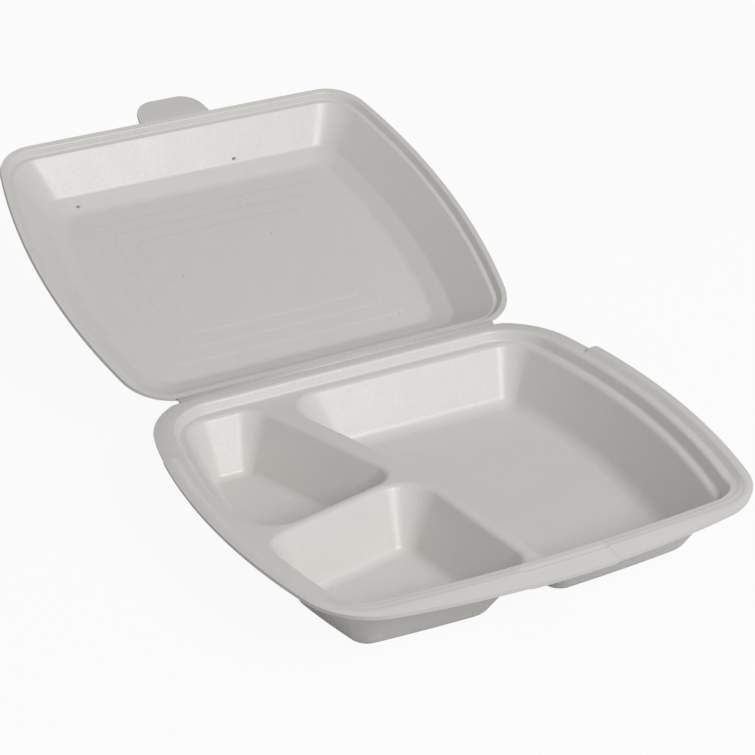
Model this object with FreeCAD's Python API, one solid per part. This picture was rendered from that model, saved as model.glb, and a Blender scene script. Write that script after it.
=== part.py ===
import FreeCAD, Part
import math
import os

# Foam clamshell container with three compartments, opened as it stands on a table.
# X runs along the hinge, +Y points from the front to the hinge, +Z is up.
# The origin is on the table, under the middle of the tray. All lengths are in millimetres.

# Sheet
RIM_SHEET = 2.4
POD_SHEET = 3.1
LID_SHEET = 1.6
STRIP_SHEET = 1.3

# Tray: overall size and the levels of its upper surface above the table
TRAY_WIDTH = 241.0
TRAY_DEPTH = 207.0
LAND_HEIGHT = 28.7
LEDGE_HEIGHT = 33.7
LIP_HEIGHT = 35.7
LIP_EDGE_HEIGHT = 35.2
SHOULDER_EDGE_HEIGHT = 32.7

# Tray: plan of the rim, from the ledge outwards and inwards
SIDE_BOW = 14.2
FRONT_BOW = 5.2
STRAIGHT_BOW = 0.2
RIM_TAPER = 1.3
FRONT_CORNER_RADIUS = 18.0
BACK_CORNER_RADIUS = 32.0
LEDGE_WIDTH = 2.0
LEDGE_TO_HINGE = 4.0
LIP_REACH = 5.0
LIP_ROUND = 1.6
FLANGE_REACH = 9.4
FLANGE_FRONT_BOW = 9.2
FLANGE_FRONT_DROP = 1.6
FLANGE_CORNER_RADIUS = 33.0
SHOULDER_REACH = 8.0
LAND_SIDE_REACH = 6.5
LAND_FRONT_REACH = 2.5
LAND_CORNER_RADIUS = 16.0
LIP_END_Y = 57.0

# Tray: the compartments
LAND_WIDTH = 2.1
WALL_DRAFT = 30.0
END_WALL_STEEPNESS = 0.8
RIM_ROUND = 3.3
FLOOR_CORNER_RADIUS = 7.0
MAIN_FLOOR_ROUND = 9.0
BACK_FLOOR_ROUND = 5.0
FRONT_FLOOR_ROUND = 6.0
MAIN_SIDE_FRONT_X = -1.5
MAIN_SIDE_BACK_X = -44.0
MAIN_SIDE_BOW = -8.0
MAIN_CORNER_RADII = (12.0, 14.0, 15.0, 16.0)
BACK_SIDE_FRONT_X = -22.5
BACK_SIDE_BACK_X = -54.0
BACK_CORNER_RADII = (18.0, 11.0, 14.0, 12.0)
FRONT_SIDE_FRONT_X = -5.0
FRONT_SIDE_BACK_X = -16.0
FRONT_SIDE_BOW = -1.0
FRONT_CORNER_RADII = (16.0, 14.0, 17.0, 18.0)
CROSS_DIVIDER_LEFT_Y = -14.3
CROSS_DIVIDER_RIGHT_Y = 5.9
CROSS_DIVIDER_WIDTH = 4.6

# Hinge: a narrow strip between two creases that are pressed into the sheet
STRIP_LENGTH = 171.0
STRIP_WIDTH = 4.0
CREASE_GAP = 0.3
OPEN_ANGLE = 163.0

# Lid: measured in its own frame, v from its crease, w out of its open side.
# Its edge drops into the tray's lip when it is closed, with these clearances.
LID_SIDE_CLEARANCE = 2.3
LID_FRONT_CLEARANCE = 2.9
LID_HINGE_SETBACK = 0.45
LID_HINGE_CORNER_RADIUS = 25.5
LID_FAR_CORNER_RADIUS = 21.7
LID_EDGE_DROP = 0.3
LID_RIDGE_INSET = 5.5
LID_RIDGE_WIDTH = 2.2
LID_RIDGE_RISE = 2.3
LID_LEDGE_INSET = 9.0
LID_LEDGE_WIDTH = 1.6
LID_LEDGE_DROP = 4.6
LID_LEDGE_HINGE_RADIUS = 15.0
LID_LEDGE_FAR_RADIUS = 17.7
LID_WALL_INSET = 22.2
LID_WALL_DROP = 20.3
LID_WALL_RADIUS = 12.0
LID_PANEL_INSET = 31.4
LID_PANEL_DROP = 25.4
LID_PANEL_RADIUS = 11.0

# Tab in the middle of the lid's far edge, and the lowered part of the lip that it passes over
TAB_WIDTH = 40.0
TAB_LENGTH = 16.5
TAB_TAPER = 3.5
TAB_CORNER_RADIUS = 9.0
TAB_CLEARANCE = 2.0
RECESS_DEPTH = 1.1

# Far enough past the part for every cutting box
MARGIN = 20.0
# Straight steps that make up each rounded rim and floor edge
ROUND_STEPS = 4


def point(x, y, z=0.0):
    return FreeCAD.Vector(x, y, z)


class Side:
    """One bowed side of an outline: an arc whose inside lies to its left."""

    def __init__(self, start, end, bow):
        chord = end - start
        length = chord.Length
        outward = point(chord.y, -chord.x) * (1.0 / length)
        self.radius = (length * length / 4.0 + bow * bow) / (2.0 * bow)
        self.centre = (start + end) * 0.5 + outward * (bow - self.radius)

    def grown(self, grow):
        """The same side moved outwards by grow."""
        side = Side.__new__(Side)
        side.centre = self.centre
        side.radius = self.radius + grow
        return side


def corner_centre(before, after, radius, near):
    """Centre of the corner arc of this radius that touches both sides, nearest to a point."""
    r0 = before.radius - radius
    r1 = after.radius - radius
    line = after.centre - before.centre
    length = line.Length
    along = (r0 * r0 - r1 * r1 + length * length) / (2.0 * length)
    across = math.sqrt(max(r0 * r0 - along * along, 0.0))
    foot = before.centre + line * (along / length)
    normal = point(-line.y, line.x) * (across / length)
    choices = [foot + normal, foot - normal]
    return min(choices, key=lambda p: (p - near).Length)


def touch(side, centre, radius):
    """Point where a corner arc touches a side."""
    away = (centre - side.centre).normalize() * math.copysign(1.0, side.radius)
    return centre + away * radius


def outline(sides, radii, z, drop=0.0):
    """Closed wire of four sides and their corner arcs, anticlockwise from the front left corner.

    Corner i joins side i - 1 to side i. The first side may drop below z at its middle.
    """
    centres = []
    for i, side in enumerate(sides):
        corner = crossing(sides[i - 1], side)
        centres.append(corner_centre(sides[i - 1], side, radii[i], corner))
    edges = []
    lift = point(0.0, 0.0, z)
    for i, side in enumerate(sides):
        centre = centres[i]
        start = touch(sides[i - 1], centre, radii[i])
        end = touch(side, centre, radii[i])
        bulge = ((start + end) * 0.5 - centre).normalize() * radii[i]
        edges.append(Part.Arc(start + lift, centre + bulge + lift, end + lift).toShape())
        following = (i + 1) % len(sides)
        finish = touch(side, centres[following], radii[following])
        bulge = (end + finish) * 0.5 - side.centre
        summit = side.centre + bulge.normalize() * abs(side.radius)
        if i == 0:
            summit = summit - point(0.0, 0.0, drop)
        edges.append(Part.Arc(end + lift, summit + lift, finish + lift).toShape())
    return edges


def crossing(before, after):
    """Sharp corner of two sides, on the part's side of their circles."""
    line = after.centre - before.centre
    length = line.Length
    r0 = before.radius
    r1 = after.radius
    along = (r0 * r0 - r1 * r1 + length * length) / (2.0 * length)
    across = math.sqrt(max(r0 * r0 - along * along, 0.0))
    foot = before.centre + line * (along / length)
    normal = point(-line.y, line.x) * (across / length)
    choices = [foot + normal, foot - normal]
    return min(choices, key=lambda p: p.Length)


def solid_between(rings, start_cap, end_cap):
    """Solid skinned with ruled faces through the rings of edges; without caps the last joins the first."""
    faces = []
    pairs = list(zip(rings, rings[1:]))
    if not (start_cap or end_cap):
        pairs.append((rings[-1], rings[0]))
    for lower, upper in pairs:
        for a, b in zip(lower, upper):
            faces.append(Part.makeRuledSurface(a, b))
    if start_cap:
        faces.append(Part.Face(Part.Wire(rings[0])))
    if end_cap:
        faces.append(Part.Face(Part.Wire(rings[-1])))
    shell = Part.makeShell(faces)
    shell.sewShape()
    solid = Part.makeSolid(shell)
    if solid.Volume < 0.0:
        solid.reverse()
    return solid


def offset_profile(profile, distance):
    """Open profile of (out, height) points moved to its lower side by a distance, with mitred corners."""
    moved = []
    for i, (x, z) in enumerate(profile):
        normals = []
        if i > 0:
            normals.append(lower_normal(profile[i - 1], profile[i]))
        if i < len(profile) - 1:
            normals.append(lower_normal(profile[i], profile[i + 1]))
        nx = sum(n[0] for n in normals) / len(normals)
        nz = sum(n[1] for n in normals) / len(normals)
        scale = distance / (nx * nx + nz * nz)
        moved.append((x + nx * scale, z + nz * scale))
    return moved


def lower_normal(start, end):
    """Unit normal to the right of a step that runs outwards, which is the lower side."""
    dx = end[0] - start[0]
    dz = end[1] - start[1]
    length = math.hypot(dx, dz)
    return (dz / length, -dx / length)


def box(x0, x1, y0, y1, z0, z1):
    return Part.makeBox(x1 - x0, y1 - y0, z1 - z0, point(x0, y0, z0))


HINGE_Y = TRAY_DEPTH / 2.0
FRONT_Y = -TRAY_DEPTH / 2.0
LEDGE_FRONT_Y = FRONT_Y + FLANGE_REACH + FLANGE_FRONT_BOW
LEDGE_BACK_Y = HINGE_Y - LEDGE_TO_HINGE
LEDGE_SIDE_X = TRAY_WIDTH / 2.0 - FLANGE_REACH - SIDE_BOW
CREASE_Z = LEDGE_HEIGHT - (LEDGE_HEIGHT - SHOULDER_EDGE_HEIGHT) * (
    (LEDGE_TO_HINGE - LEDGE_WIDTH / 2.0) / (SHOULDER_REACH - LEDGE_WIDTH / 2.0)
)
LID_SIDE_HALF = LEDGE_SIDE_X + LIP_REACH - LID_SIDE_CLEARANCE
LID_DEPTH = HINGE_Y - LEDGE_FRONT_Y + LIP_REACH - LID_FRONT_CLEARANCE
LID_TILT = 180.0 - OPEN_ANGLE


def rim_sides(front_bow, front_shift=0.0):
    """The four sides of the ledge's outline, with its front side moved outwards by front_shift."""
    front_x = LEDGE_SIDE_X + RIM_TAPER / 2.0
    back_x = LEDGE_SIDE_X - RIM_TAPER / 2.0
    front_left = point(-front_x, LEDGE_FRONT_Y)
    front_right = point(front_x, LEDGE_FRONT_Y)
    back_right = point(back_x, LEDGE_BACK_Y)
    back_left = point(-back_x, LEDGE_BACK_Y)
    return [
        Side(front_left, front_right, front_bow).grown(front_shift),
        Side(front_right, back_right, SIDE_BOW),
        Side(back_right, back_left, STRAIGHT_BOW),
        Side(back_left, front_left, SIDE_BOW),
    ]


def rim_ring(grow, z, front_bow=FRONT_BOW, drop=0.0, front_radius=None, back_radius=None, front_shift=0.0):
    """One outline of the rim, grown outwards from the ledge."""
    front = front_radius if front_radius is not None else FRONT_CORNER_RADIUS + grow
    back = back_radius if back_radius is not None else BACK_CORNER_RADIUS + grow
    sides = [side.grown(grow) for side in rim_sides(front_bow, front_shift)]
    return outline(sides, [front, front, back, back], z, drop)


def land_ring(grow, z):
    """Outline of the land inside the ledge; its front lies closer to the ledge than its sides."""
    radius = LAND_CORNER_RADIUS + grow
    shift = LAND_SIDE_REACH - LAND_FRONT_REACH
    return rim_ring(grow - LAND_SIDE_REACH, z, front_radius=radius, back_radius=radius, front_shift=shift)


def rim_band(outer):
    """The rim's sheet from the land outwards; outer lists (reach, height) beyond the ledge."""
    top = [
        (-LAND_SIDE_REACH - LAND_WIDTH, LAND_HEIGHT),
        (-LAND_SIDE_REACH, LAND_HEIGHT),
        (-LEDGE_WIDTH / 2.0, LEDGE_HEIGHT),
        (LEDGE_WIDTH / 2.0, LEDGE_HEIGHT),
    ] + outer
    under = offset_profile(top, RIM_SHEET)
    under[0] = (top[0][0], under[0][1])
    under[-1] = (top[-1][0], top[-1][1] - RIM_SHEET)
    return top, under


def rim_rings(profile, flange):
    """Edges of every outline of a rim profile; flange widens the last one along the front."""
    rings = []
    for i, (grow, z) in enumerate(profile):
        if i < 2:
            rings.append(land_ring(grow + LAND_SIDE_REACH, z))
        elif flange and i == len(profile) - 1:
            rings.append(rim_ring(grow, z, FLANGE_FRONT_BOW, FLANGE_FRONT_DROP, FLANGE_CORNER_RADIUS))
        else:
            rings.append(rim_ring(grow, z))
    return rings


def rim_sheet(outer, flange, under_outer=None):
    """Solid of the rim all the way round for one profile; under_outer fills down to another profile."""
    top, under = rim_band(outer)
    if under_outer is not None:
        under = rim_band(under_outer)[1]
    rings = rim_rings(top, flange) + list(reversed(rim_rings(under, flange)))
    return solid_between(rings, False, False)


def pocket_levels(floor_round, sheet):
    """(inset, height, spread) of a compartment's wall from its rim to its floor.

    The wall is moved out by a sheet thickness, of which spread is the part that shows in plan.
    The rim and the floor's edge are rounded, and the wall between them has one draft.
    """
    draft = math.radians(WALL_DRAFT)
    depth = LAND_HEIGHT - POD_SHEET
    run = depth * math.tan(draft)
    turn = math.pi / 2.0 - draft
    rim = RIM_ROUND - sheet
    floor = floor_round + sheet
    rim_back = RIM_ROUND * math.tan(turn / 2.0)
    floor_back = floor_round * math.tan(turn / 2.0)
    levels = []
    for step in range(ROUND_STEPS + 1):
        angle = turn * step / ROUND_STEPS
        inset = -rim_back + rim * math.sin(angle)
        z = LAND_HEIGHT - RIM_ROUND + rim * math.cos(angle)
        levels.append((inset, z, sheet * math.sin(angle)))
    for step in range(ROUND_STEPS + 1):
        angle = turn * (1.0 - step / ROUND_STEPS)
        inset = run + floor_back - floor * math.sin(angle)
        z = POD_SHEET + floor_round - floor * math.cos(angle)
        levels.append((inset, z, sheet * math.sin(angle)))
    return levels


def pocket_solid(sides, steepness, radii, floor_round, sheet):
    """Compartment as a solid: its hollow where sheet is 0, or the pod's outside at a sheet's thickness."""
    levels = pocket_levels(floor_round, sheet)
    run = levels[-1][0]
    if sheet > 0.0:
        # The pod reaches up into the middle of the land's sheet
        levels.insert(0, (levels[0][0], LAND_HEIGHT - RIM_SHEET / 2.0, 0.0))
    rings = []
    for inset, z, spread in levels:
        share = min(max(inset / run, 0.0), 1.0)
        level_radii = [r + (FLOOR_CORNER_RADIUS - r) * share + spread - min(inset, 0.0) for r in radii]
        level_sides = [side.grown(-inset * share_of_run) for side, share_of_run in zip(sides, steepness)]
        rings.append(outline(level_sides, level_radii, z))
    return solid_between(rings, True, True)


def pocket_outlines():
    """Sides and corner radii of the three compartments, at the sharp edge of the land."""
    shift = LAND_SIDE_REACH - LAND_FRONT_REACH
    grow = -LAND_SIDE_REACH - LAND_WIDTH
    front, right, back, left = [side.grown(grow) for side in rim_sides(FRONT_BOW, shift)]
    front_y = LEDGE_FRONT_Y
    back_y = LEDGE_BACK_Y + grow
    main_side = Side(point(MAIN_SIDE_BACK_X, back_y), point(MAIN_SIDE_FRONT_X, front_y), MAIN_SIDE_BOW)
    divider_left = point(-LEDGE_SIDE_X - SIDE_BOW, CROSS_DIVIDER_LEFT_Y)
    divider_right = point(FRONT_SIDE_BACK_X, CROSS_DIVIDER_RIGHT_Y)
    cross = Side(divider_left, divider_right, STRAIGHT_BOW)
    cross_back = cross.grown(-CROSS_DIVIDER_WIDTH / 2.0)
    cross_front = Side(divider_right, divider_left, STRAIGHT_BOW).grown(-CROSS_DIVIDER_WIDTH / 2.0)
    back_side = Side(point(BACK_SIDE_FRONT_X, divider_right.y), point(BACK_SIDE_BACK_X, back_y), STRAIGHT_BOW)
    front_side = Side(point(FRONT_SIDE_FRONT_X, front_y), divider_right, FRONT_SIDE_BOW)
    even = (1.0, 1.0, 1.0, 1.0)
    steep_end = (1.0, 1.0, 1.0, END_WALL_STEEPNESS)
    return [
        ([front, right, back, main_side], even, MAIN_CORNER_RADII, MAIN_FLOOR_ROUND),
        ([cross_back, back_side, back, left], steep_end, BACK_CORNER_RADII, BACK_FLOOR_ROUND),
        ([front, front_side, cross_front, left], steep_end, FRONT_CORNER_RADII, FRONT_FLOOR_ROUND),
    ]


def make_tray():
    shoulder_outer = [(SHOULDER_REACH, SHOULDER_EDGE_HEIGHT)]
    lip_outer = [
        (LIP_REACH, LIP_HEIGHT),
        (LIP_REACH + LIP_ROUND, LIP_HEIGHT),
        (FLANGE_REACH, LIP_EDGE_HEIGHT),
    ]
    shoulder_as_lip = [
        (LIP_REACH, SHOULDER_EDGE_HEIGHT),
        (LIP_REACH + LIP_ROUND, SHOULDER_EDGE_HEIGHT),
        (FLANGE_REACH, SHOULDER_EDGE_HEIGHT),
    ]
    recess_outer = [(reach, z - RECESS_DEPTH) for reach, z in lip_outer]
    half = TRAY_WIDTH
    top = LIP_HEIGHT + MARGIN
    behind = box(-half, half, LIP_END_Y, HINGE_Y - CREASE_GAP / 2.0, -MARGIN, top)
    ahead = box(-half, half, FRONT_Y - MARGIN, LIP_END_Y, -MARGIN, top)
    recess_half = TAB_WIDTH / 2.0 + TAB_CLEARANCE
    recess = box(-recess_half, recess_half, FRONT_Y - MARGIN, 0.0, -MARGIN, top)
    end_slab = box(-half, half, LIP_END_Y - RIM_SHEET, LIP_END_Y, -MARGIN, top)

    shoulder = rim_sheet(shoulder_outer, False).common(behind)
    lip = rim_sheet(lip_outer, True).common(ahead).cut(recess)
    lowered = rim_sheet(recess_outer, True).common(recess)
    lip_ends = rim_sheet(lip_outer, True, shoulder_as_lip).common(end_slab)

    plate_rings = [land_ring(-LAND_WIDTH, LAND_HEIGHT - RIM_SHEET), land_ring(-LAND_WIDTH, LAND_HEIGHT)]
    tray = solid_between(plate_rings, True, True)
    pockets = pocket_outlines()
    tray = tray.fuse([pocket_solid(*pocket, POD_SHEET) for pocket in pockets])
    tray = tray.fuse([shoulder, lip, lowered, lip_ends])
    return tray.cut([pocket_solid(*pocket, 0.0) for pocket in pockets]).Solids[0]


def lid_ring(inset, w, hinge_radius, far_radius):
    """Outline of the lid in its own frame, moved in from its edge."""
    hinge_v = -LID_HINGE_SETBACK
    corners = [
        point(-LID_SIDE_HALF, hinge_v),
        point(LID_SIDE_HALF, hinge_v),
        point(LID_SIDE_HALF, LID_DEPTH),
        point(-LID_SIDE_HALF, LID_DEPTH),
    ]
    bows = (STRAIGHT_BOW, SIDE_BOW, STRAIGHT_BOW, SIDE_BOW)
    sides = []
    for i, bow in enumerate(bows):
        sides.append(Side(corners[i], corners[(i + 1) % len(corners)], bow).grown(-inset))
    return outline(sides, [hinge_radius, hinge_radius, far_radius, far_radius], w)


def lid_section(distance):
    """(inset, w) levels of the lid's open side from its panel to its edge, moved down by a distance."""
    flat_start = LID_PANEL_INSET + LID_PANEL_RADIUS
    section = [
        (-flat_start, -LID_PANEL_DROP),
        (-LID_PANEL_INSET, -LID_PANEL_DROP),
        (-LID_WALL_INSET, -LID_WALL_DROP),
        (-LID_LEDGE_INSET - LID_LEDGE_WIDTH / 2.0, -LID_LEDGE_DROP),
        (-LID_LEDGE_INSET + LID_LEDGE_WIDTH / 2.0, -LID_LEDGE_DROP),
        (-LID_RIDGE_INSET - LID_RIDGE_WIDTH / 2.0, LID_RIDGE_RISE),
        (-LID_RIDGE_INSET + LID_RIDGE_WIDTH / 2.0, LID_RIDGE_RISE),
        (0.0, -LID_EDGE_DROP),
    ]
    moved = offset_profile(section, distance)
    moved[-1] = (section[-1][0], section[-1][1] - distance)
    return moved[1:]


def lid_rings(distance):
    radii = [
        (LID_PANEL_RADIUS, LID_PANEL_RADIUS),
        (LID_WALL_RADIUS, LID_WALL_RADIUS),
        (LID_LEDGE_HINGE_RADIUS, LID_LEDGE_FAR_RADIUS),
        (LID_LEDGE_HINGE_RADIUS + LID_LEDGE_WIDTH, LID_LEDGE_FAR_RADIUS + LID_LEDGE_WIDTH),
        (LID_HINGE_CORNER_RADIUS - LID_RIDGE_INSET, LID_FAR_CORNER_RADIUS - LID_RIDGE_WIDTH),
        (LID_HINGE_CORNER_RADIUS - LID_RIDGE_INSET + LID_RIDGE_WIDTH, LID_FAR_CORNER_RADIUS),
        (LID_HINGE_CORNER_RADIUS, LID_FAR_CORNER_RADIUS),
    ]
    rings = []
    for (reach, w), (hinge_radius, far_radius) in zip(lid_section(distance), radii):
        rings.append(lid_ring(-reach, w, hinge_radius, far_radius))
    return rings


def make_tab():
    root = TAB_WIDTH / 2.0
    end = root - TAB_TAPER
    near = LID_DEPTH - STRAIGHT_BOW
    far = LID_DEPTH + TAB_LENGTH
    low = -LID_EDGE_DROP - LID_SHEET
    corners = [point(-root, near, low), point(root, near, low), point(end, far, low), point(-end, far, low)]
    plate = Part.Face(Part.makePolygon(corners + corners[:1])).extrude(point(0.0, 0.0, LID_SHEET))
    uprights = []
    for edge in plate.Edges:
        ends = [vertex.Point for vertex in edge.Vertexes]
        if ends[0].y > near + TAB_LENGTH / 2.0 and abs(ends[0].z - ends[1].z) > LID_SHEET / 2.0:
            uprights.append(edge)
    return plate.makeFillet(TAB_CORNER_RADIUS, uprights)


def make_lid():
    """The lid in its own frame, cut off at the crease."""
    rings = lid_rings(0.0) + list(reversed(lid_rings(LID_SHEET)))
    behind = box(-TRAY_WIDTH, TRAY_WIDTH, -MARGIN, CREASE_GAP / 2.0, -LID_PANEL_DROP - MARGIN, MARGIN)
    return solid_between(rings, True, True).fuse(make_tab()).cut(behind).Solids[0]


def make_strip():
    """The strip between the creases in its own frame, with its upper surface level with both creases."""
    half = STRIP_LENGTH / 2.0
    gap = CREASE_GAP / 2.0
    return box(-half, half, gap, STRIP_WIDTH - gap, -STRIP_SHEET, 0.0)


def placed(shape, y, z, tilt):
    """Copy of a shape turned about X and moved to a crease."""
    turned = shape.copy()
    turned.Placement = FreeCAD.Placement(point(0.0, y, z), FreeCAD.Rotation(point(1.0, 0.0, 0.0), tilt))
    return turned


def make_parts():
    """The three solids as the opened container stands, with the origin under its middle."""
    strip_tilt = LID_TILT / 2.0
    lid_crease_y = HINGE_Y + STRIP_WIDTH * math.cos(math.radians(strip_tilt))
    lid_crease_z = CREASE_Z + STRIP_WIDTH * math.sin(math.radians(strip_tilt))
    solids = {
        "tray": make_tray(),
        "hinge_strip": placed(make_strip(), HINGE_Y, CREASE_Z, strip_tilt),
        "lid": placed(make_lid(), lid_crease_y, lid_crease_z, LID_TILT),
    }
    far_y = solids["lid"].optimalBoundingBox().YMax
    middle_y = (FRONT_Y + far_y) / 2.0
    print("tray crease", HINGE_Y - middle_y, CREASE_Z, "lid crease", lid_crease_y - middle_y, lid_crease_z)
    return {name: solid.translated(point(0.0, -middle_y)) for name, solid in solids.items()}


if __name__ == "__main__":
    os.makedirs("parts", exist_ok=True)
    for name, solid in make_parts().items():
        print(name, solid.isValid(), len(solid.Solids), solid.Volume, solid.optimalBoundingBox())
        print(solid.CenterOfMass)
        solid.exportStep("parts/" + name + ".step")
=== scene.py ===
"""Foam clamshell container, opened on a table: moulded tray, living hinge, tabbed lid and studio.

Sheets are drawn in millimetres in a frame of their own and then placed in the scene in metres.
"""

from __future__ import annotations

import logging
import math
from dataclasses import dataclass, field
from enum import Enum
from typing import Sequence

import bmesh
import bpy
from mathutils import Matrix, Vector

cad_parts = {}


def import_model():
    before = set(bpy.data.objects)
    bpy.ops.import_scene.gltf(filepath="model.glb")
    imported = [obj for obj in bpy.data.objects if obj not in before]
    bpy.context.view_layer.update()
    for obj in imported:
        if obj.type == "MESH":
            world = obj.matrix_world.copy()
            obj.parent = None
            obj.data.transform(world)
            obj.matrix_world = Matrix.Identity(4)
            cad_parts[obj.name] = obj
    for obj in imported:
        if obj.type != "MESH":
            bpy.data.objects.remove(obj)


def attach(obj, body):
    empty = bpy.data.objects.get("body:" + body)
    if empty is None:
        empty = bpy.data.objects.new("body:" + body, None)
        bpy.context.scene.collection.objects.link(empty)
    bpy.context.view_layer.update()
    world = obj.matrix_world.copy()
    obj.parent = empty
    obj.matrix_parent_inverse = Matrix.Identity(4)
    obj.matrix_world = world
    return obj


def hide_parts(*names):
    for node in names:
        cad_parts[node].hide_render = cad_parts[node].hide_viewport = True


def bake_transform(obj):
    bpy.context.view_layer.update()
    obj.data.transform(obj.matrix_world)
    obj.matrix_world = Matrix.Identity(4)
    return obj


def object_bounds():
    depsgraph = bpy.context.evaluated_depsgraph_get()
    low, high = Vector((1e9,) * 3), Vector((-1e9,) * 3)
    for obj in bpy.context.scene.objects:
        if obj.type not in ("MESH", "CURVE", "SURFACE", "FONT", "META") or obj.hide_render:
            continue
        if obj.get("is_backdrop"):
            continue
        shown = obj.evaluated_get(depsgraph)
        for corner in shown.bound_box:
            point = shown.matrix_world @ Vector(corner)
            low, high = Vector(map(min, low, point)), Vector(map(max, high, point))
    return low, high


log = logging.getLogger("clamshell")

Pair = tuple[float, float]

Level = Pair
"""Reach or inset, and height, of a point on a profile."""

Corner = tuple[float, float, float]
"""Reach, height and rounding radius of a profile's corner."""

Quad = tuple[float, float, float, float]
Colour = tuple[float, float, float]
Shares = tuple[float, ...]
Ring = list[bmesh.types.BMVert]

Stations = dict[float, list[Vector]]
"""Plan curves by their reach beyond an outline, with as many points each."""

MM = 0.001
SETBACK = 101.2333
"""Millimetres from the tray's middle to the origin, along the depth."""
TRAY_CREASE = (0.0, 2.2667, 33.2714)
LID_CREASE = (0.0, 6.2227, 33.8627)
CREASE_GAP = 0.3
SIDE_BOW = 14.2
"""Bow of the left and right sides of the tray and the lid."""
STRAIGHT_BOW = 0.2
"""Bow of the sides that look straight."""

SIDE_STEPS = 44
BACK_STEPS = 40
TAB_SIDE_STEPS = 64
POCKET_STEPS = 30
CORNER_STEPS = 14
ROUND_STEPS = 4
"""Straight steps in each round of a profile."""
RECESS_ENDS = tuple(0.5 + side * step * 0.0042 for side in (-1, 1) for step in range(29, 37))
"""Shares of the front side round both ends of the part that is lowered for the tab."""
NOTCH_SHARES = tuple(0.905 + step * 0.0035 for step in range(-9, 10))
"""Shares of the right side round its notch."""
MERGE_DISTANCE = 0.04


class Body(str, Enum):
    """The bodies that pieces ride on."""

    TRAY = "tray"
    STRIP = "hinge_strip"
    LID = "lid"


@dataclass(frozen=True)
class Arc:
    """One bowed side of an outline, with its inside to the left."""

    centre: Vector
    radius: float

    @classmethod
    def bowed(cls, start: Vector, end: Vector, bow: float) -> Arc:
        """Makes the side between two corners that stands out by a bow.

        Args:
            start: First corner.
            end: Second corner.
            bow: How far the middle stands out from the straight line.

        Returns:
            The side.
        """
        chord = end - start
        outward = Vector((chord.y, -chord.x)).normalized()
        radius = (chord.length_squared / 4.0 + bow * bow) / (2.0 * bow)
        return cls((start + end) / 2.0 + outward * (bow - radius), radius)

    def grown(self, grow: float) -> Arc:
        """Returns the side moved outwards."""
        return Arc(self.centre, self.radius + grow)

    def meets(self, other: Arc, inset: float, near: Vector) -> Vector:
        """Finds the point that lies inside both sides by the same inset.

        Args:
            other: The next side.
            inset: Distance to both sides, 0 for their crossing.
            near: The solution nearest to this point is taken.

        Returns:
            The crossing, or the centre of the corner arc of that radius.
        """
        r0 = self.radius - inset
        r1 = other.radius - inset
        line = other.centre - self.centre
        length = line.length
        along = (r0 * r0 - r1 * r1 + length * length) / (2.0 * length)
        across = math.sqrt(max(r0 * r0 - along * along, 0.0))
        foot = self.centre + line * (along / length)
        normal = Vector((-line.y, line.x)) * (across / length)
        return min((foot + normal, foot - normal), key=lambda p: (p - near).length)

    def touch(self, centre: Vector, radius: float) -> Vector:
        """Returns the point where a corner arc touches this side."""
        away = (centre - self.centre).normalized() * math.copysign(1.0, self.radius)
        return centre + away * radius


def sweep(centre: Vector, start: Vector, end: Vector, shares: Sequence[float]) -> list[Vector]:
    """Lists points along the shorter arc round a centre, at shares of its angle."""
    first = math.atan2(start.y - centre.y, start.x - centre.x)
    turn = math.atan2(end.y - centre.y, end.x - centre.x) - first
    turn = (turn + math.pi) % (2.0 * math.pi) - math.pi
    radius = (start - centre).length
    points = []
    for share in shares:
        angle = first + turn * share
        points.append(centre + Vector((math.cos(angle), math.sin(angle))) * radius)
    return points


def rectangle(half: float, low: float, high: float) -> list[Vector]:
    """Lists the corners of a rectangle that is centred across, anticlockwise."""
    return [Vector((-half, low)), Vector((half, low)), Vector((half, high)), Vector((-half, high))]


def bowed_sides(corners: Sequence[Vector], bows: Sequence[float]) -> tuple[Arc, ...]:
    """Makes the sides between corners in order, each with its own bow."""
    following = [*corners[1:], corners[0]]
    return tuple(Arc.bowed(a, b, bow) for a, b, bow in zip(corners, following, bows))


def even_shares(count: int) -> Shares:
    """Lists even shares of a side from its start, without its end."""
    return tuple(k / count for k in range(count))


def finer_shares(count: int, fine: Sequence[float], apart: float = 0.003) -> Shares:
    """Lists even shares of a side with finer ones in a part of it.

    Args:
        count: Number of even steps.
        fine: The finer shares.
        apart: Even shares as close as this to a finer one are left out.

    Returns:
        All shares in order.
    """
    coarse = [s for s in even_shares(count) if all(abs(s - other) > apart for other in fine)]
    return tuple(sorted([*coarse, *fine]))


@dataclass(frozen=True)
class Outline:
    """A closed plan outline of four bowed sides, anticlockwise from its front left corner."""

    sides: tuple[Arc, ...]
    side_shares: tuple[Shares, ...]

    def loop(self, radii: Sequence[float], grows: Sequence[float]) -> list[Vector]:
        """Samples the outline with every side moved outwards by its own amount.

        Args:
            radii: Corner radii; corner i joins side i - 1 to side i.
            grows: Outward move of each side.

        Returns:
            Points in order, as many for every call.
        """
        sides = [side.grown(grow) for side, grow in zip(self.sides, grows)]
        centres = []
        for i, side in enumerate(sides):
            corner = sides[i - 1].meets(side, 0.0, Vector((0.0, 0.0)))
            centres.append(sides[i - 1].meets(side, radii[i], corner))
        points: list[Vector] = []
        for i, side in enumerate(sides):
            start = sides[i - 1].touch(centres[i], radii[i])
            end = side.touch(centres[i], radii[i])
            points += sweep(centres[i], start, end, even_shares(CORNER_STEPS))
            j = (i + 1) % len(sides)
            next_start = side.touch(centres[j], radii[j])
            points += sweep(side.centre, end, next_start, self.side_shares[i])
        return points


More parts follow.
